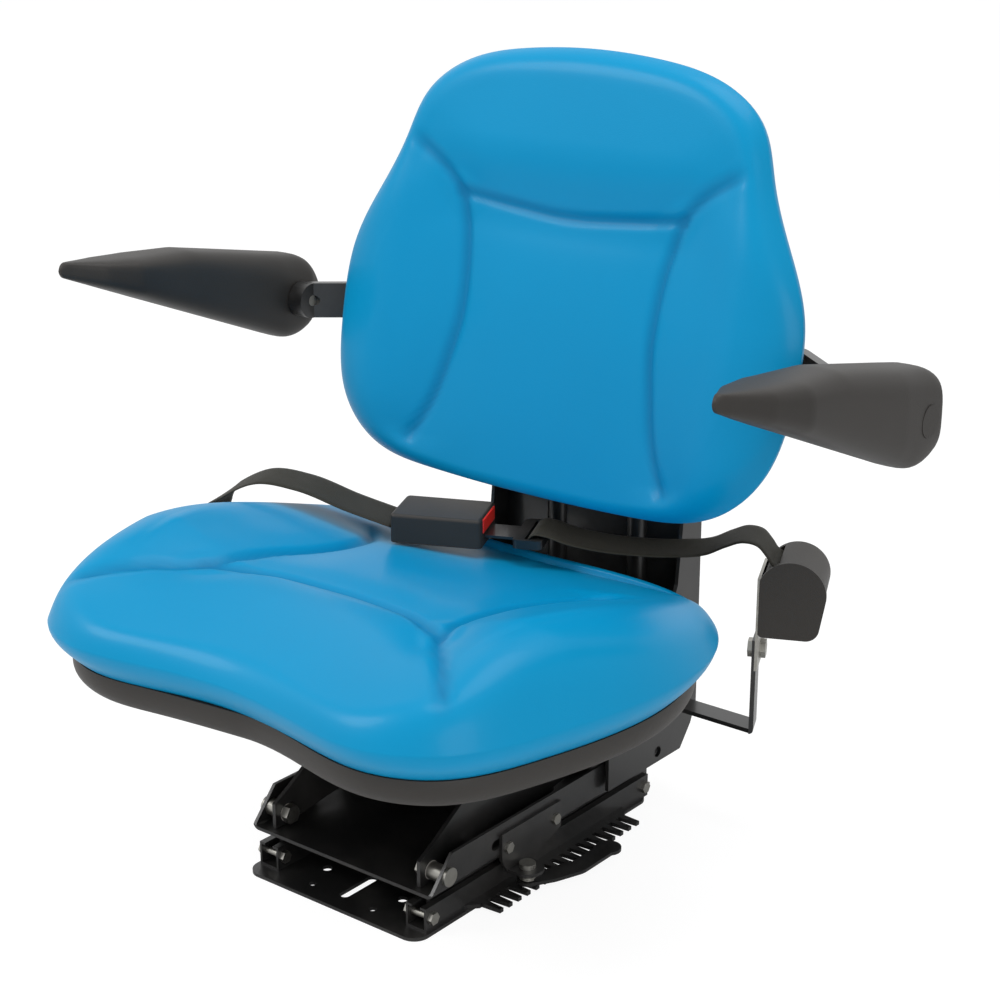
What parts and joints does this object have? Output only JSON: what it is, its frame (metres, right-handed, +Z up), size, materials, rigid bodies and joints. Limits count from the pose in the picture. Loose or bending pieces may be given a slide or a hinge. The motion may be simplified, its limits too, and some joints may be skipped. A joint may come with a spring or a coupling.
{
  "type": "tractor seat",
  "caption": "Blue moulded tractor seat on a sprung, sliding base, with flip-up armrests and a lap belt with retractor and buckle.",
  "frame": {"origin": "centre of the base plate's underside, at the middle of its bolt pattern", "axes": "+X to the occupant's left, +Y to the rear, +Z up; the seat faces -Y"},
  "size_m": [0.718, 0.5263, 0.6584],
  "materials": {
    "blue_vinyl": "moulded vinyl skin, satin gloss",
    "black_steel": "gloss black coat",
    "zinc_steel": "bright zinc",
    "spring_steel": "black oiled",
    "dark_plastic": "fine grain",
    "bush_plastic": "plain",
    "black_rubber": "matt",
    "black_webbing": "woven",
    "red_plastic": "gloss"
  },
  "bodies": {
    "base": {"base_plate": "black_steel", "lower_rail_left": "black_steel", "lower_rail_right": "black_steel", "rail_stop_bolts": "zinc_steel", "lock_rack": "black_steel"},
    "carriage": {"upper_rail_left": "black_steel", "upper_rail_right": "black_steel", "slide_glides": "bush_plastic", "suspension_tray": "black_steel", "pivot_bolts": "zinc_steel", "pivot_spacers": "zinc_steel", "spring_cups": "black_steel", "bump_stops": "black_rubber", "coil_spring_left": "spring_steel", "coil_spring_right": "spring_steel", "lever_bracket": "black_steel", "bracket_screws": "zinc_steel", "lever_pin": "zinc_steel", "lever_spring": "spring_steel"},
    "lock_lever": {"lock_lever": "black_steel"},
    "seat": {"swing_frame": "black_steel", "pivot_bushes": "bush_plastic", "side_plate_left": "black_steel", "side_plate_right": "black_steel", "frame_bolts": "zinc_steel", "backrest_plate": "black_steel", "seat_shell": "dark_plastic", "shell_bolts": "zinc_steel", "seat_cushion": "blue_vinyl", "back_panel": "dark_plastic", "back_panel_bolts": "zinc_steel", "backrest_cushion": "blue_vinyl", "armrest_bar": "black_steel", "bar_bolts": "zinc_steel", "armrest_bolts": "zinc_steel", "buckle_body": "dark_plastic", "belt_tongue": "zinc_steel", "belt_webbing": "black_webbing", "buckle_tether": "black_webbing", "retractor_bracket": "black_steel", "retractor_bolt": "zinc_steel", "anchor_bracket": "black_steel", "anchor_bolt": "zinc_steel", "retractor_cover": "dark_plastic", "retractor_end_cap": "dark_plastic", "retractor_frame": "zinc_steel"},
    "armrest_left": {"armrest_left": "dark_plastic", "armrest_bush_left": "bush_plastic", "armrest_cap_left": "dark_plastic"},
    "armrest_right": {"armrest_right": "dark_plastic", "armrest_bush_right": "bush_plastic", "armrest_cap_right": "dark_plastic"},
    "buckle_button": {"buckle_button": "red_plastic"},
    "retractor_spool": {"retractor_spool": "black_webbing"}
  },
  "joints": [
    {"name": "seat_slide", "type": "slide", "parent": "base", "child": "carriage", "axis": [0, 1, 0], "range_m": [-0.072, 0.072]},
    {"name": "lock_turn", "type": "hinge", "parent": "carriage", "child": "lock_lever", "pos_m": [0.111, -0.04, 0.0105], "axis": [0, 0, 1], "range_deg": [0, 12]},
    {"name": "suspension", "type": "hinge", "parent": "carriage", "child": "seat", "pos_m": [0, -0.127, 0.0475], "axis": [-1, 0, 0], "range_deg": [0, 6], "stiffness_Nm_per_rad": 1130, "springref_deg": -2.86, "deforming": ["coil_spring_left", "coil_spring_right"]},
    {"name": "armrest_left_tilt", "type": "hinge", "parent": "seat", "child": "armrest_left", "pos_m": [0.321, 0.138, 0.41], "axis": [-1, 0, 0], "range_deg": [0, 100]},
    {"name": "armrest_right_tilt", "type": "hinge", "parent": "seat", "child": "armrest_right", "pos_m": [-0.321, 0.138, 0.41], "axis": [-1, 0, 0], "range_deg": [0, 100]},
    {"name": "buckle_press", "type": "slide", "parent": "seat", "child": "buckle_button", "axis": [-0.9085, -0.4179, 0], "range_m": [0, 0.005], "stiffness_N_per_m": 900, "springref_m": -0.002},
    {"name": "spool_turn", "type": "hinge", "parent": "seat", "child": "retractor_spool", "pos_m": [0.21214, 0.20057, 0.226], "axis": [-0.4179, 0.9085, 0], "range_deg": [-360, 1800]}
  ]
}
